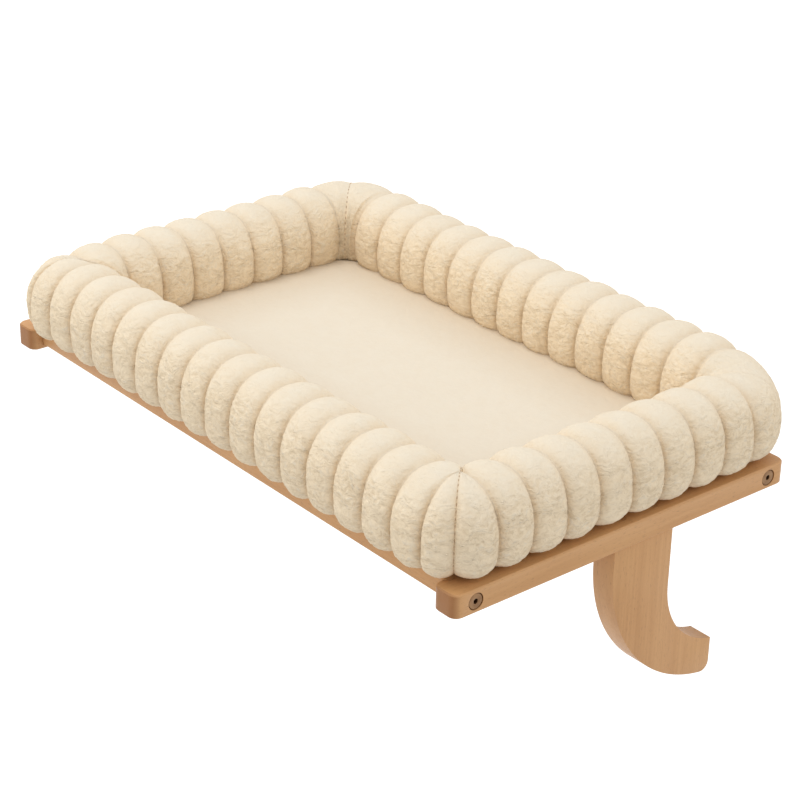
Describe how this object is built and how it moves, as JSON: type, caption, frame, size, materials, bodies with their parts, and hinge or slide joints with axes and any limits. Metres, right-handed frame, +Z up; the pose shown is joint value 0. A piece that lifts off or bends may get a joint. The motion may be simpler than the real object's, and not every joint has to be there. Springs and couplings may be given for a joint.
{
  "type": "window sill cat perch",
  "caption": "Padded cat perch that rests on a window sill: beech frame with curved wall legs, sliding sill hooks with clamp knobs, and a lift-off plush bed with a channelled bolster.",
  "frame": {"origin": "above the sill's top front edge, half way along the frame, on the level of the end rails' underside; the sill's surface is 0.5 mm lower, at the face of the sill pads", "axes": "+X along the sill to the right, +Y from the room to the window, +Z up"},
  "size_m": [0.6099, 0.3948, 0.2469],
  "materials": {
    "beech": "satin lacquer",
    "plywood": "sanded",
    "bolt_bronze": "satin bronze plating",
    "zinc_steel": "bright zinc",
    "black_plastic": "matte",
    "rubber": "matte",
    "plush": "short pile",
    "base_cloth": "woven",
    "hook_loop": "hook and loop"
  },
  "bodies": {
    "frame": {"end_rail_right": "beech", "end_rail_left": "beech", "front_rail": "beech", "rear_rail": "beech", "frame_bolts": "bolt_bronze", "barrel_nuts": "zinc_steel", "leg_right": "beech", "leg_left": "beech", "leg_screws": "zinc_steel", "leg_dowels": "beech", "toe_pads": "rubber", "sill_pads": "rubber", "bearer_right": "beech", "bearer_left": "beech", "bearer_middle": "beech", "bearer_screws": "zinc_steel", "base_panel": "plywood", "panel_screws": "zinc_steel", "tee_nuts": "zinc_steel", "guide_straps": "zinc_steel", "strap_screws": "zinc_steel", "grip_strips": "hook_loop"},
    "hook_right": {"hook_right": "zinc_steel", "hook_pad_right": "rubber"},
    "hook_left": {"hook_left": "zinc_steel", "hook_pad_left": "rubber"},
    "clamp_right": {"washer_right": "zinc_steel"},
    "clamp_left": {"washer_left": "zinc_steel"},
    "turn_right": {"knob_right": "black_plastic", "stud_right": "zinc_steel"},
    "turn_left": {"knob_left": "black_plastic", "stud_left": "zinc_steel"},
    "bed": {"loop_strips": "hook_loop", "bed_base": "base_cloth", "bed_pad": "plush", "bolster_front": "plush", "bolster_rear": "plush", "bolster_right": "plush", "bolster_left": "plush"}
  },
  "joints": [
    {"name": "hook_right_slide", "type": "slide", "parent": "frame", "child": "hook_right", "axis": [0, 1, 0], "range_m": [0, 0.07]},
    {"name": "hook_left_slide", "type": "slide", "parent": "frame", "child": "hook_left", "axis": [0, 1, 0], "range_m": [0, 0.07]},
    {"name": "clamp_right_drop", "type": "slide", "parent": "frame", "child": "clamp_right", "axis": [0, 0, -1], "range_m": [0, 0.0021]},
    {"name": "clamp_left_drop", "type": "slide", "parent": "frame", "child": "clamp_left", "axis": [0, 0, -1], "range_m": [0, 0.0021]},
    {"name": "knob_right_turn", "type": "hinge", "parent": "clamp_right", "child": "turn_right", "pos_m": [0.22, -0.04, 0], "axis": [0, 0, -1], "range_deg": [0, 720]},
    {"name": "knob_left_turn", "type": "hinge", "parent": "clamp_left", "child": "turn_left", "pos_m": [-0.22, -0.04, 0], "axis": [0, 0, -1], "range_deg": [0, 720]},
    {"name": "bed_lift", "type": "slide", "parent": "frame", "child": "bed", "axis": [0, 0, 1], "range_m": [0, 0.15]}
  ],
  "couplings": [
    {"joint": "clamp_right_drop", "follows": "knob_right_turn", "m_per_rad": 0.00015915},
    {"joint": "clamp_left_drop", "follows": "knob_left_turn", "m_per_rad": 0.00015915}
  ]
}
